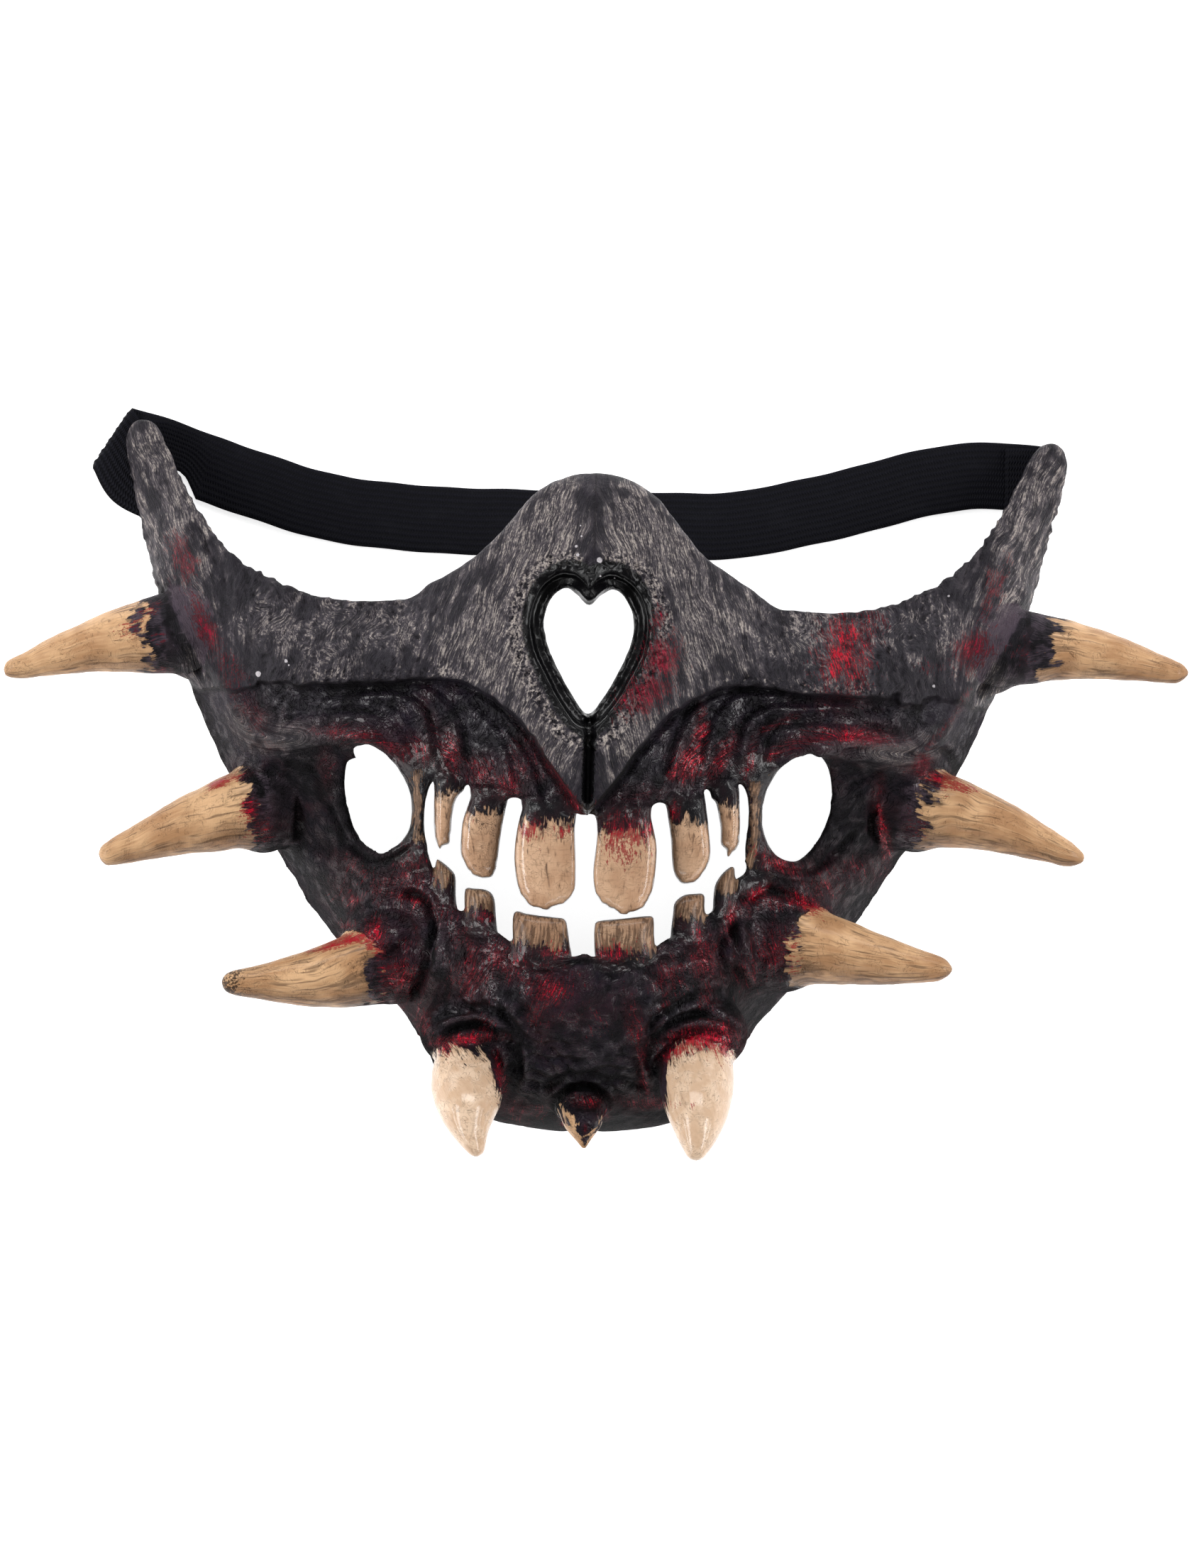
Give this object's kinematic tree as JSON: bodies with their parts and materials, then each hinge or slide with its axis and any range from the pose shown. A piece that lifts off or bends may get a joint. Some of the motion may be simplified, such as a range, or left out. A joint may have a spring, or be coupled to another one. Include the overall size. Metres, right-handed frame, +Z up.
{
  "type": "dragon mouth mask",
  "caption": "Half mask of a fanged dragon mouth with open nose and cheeks, side spikes and an elastic strap, lying face up.",
  "frame": {"origin": "on the ground under the middle of the mask and strap", "axes": "+Z up out of the face, +Y towards the brow and horn tips, +X towards the viewer's right"},
  "size_m": [0.262, 0.1618, 0.0839],
  "materials": {
    "painted_latex": "satin",
    "elastic": "matte"
  },
  "bodies": {
    "root": {"mask_shell": "painted_latex", "elastic_strap": "elastic"}
  },
  "joints": []
}
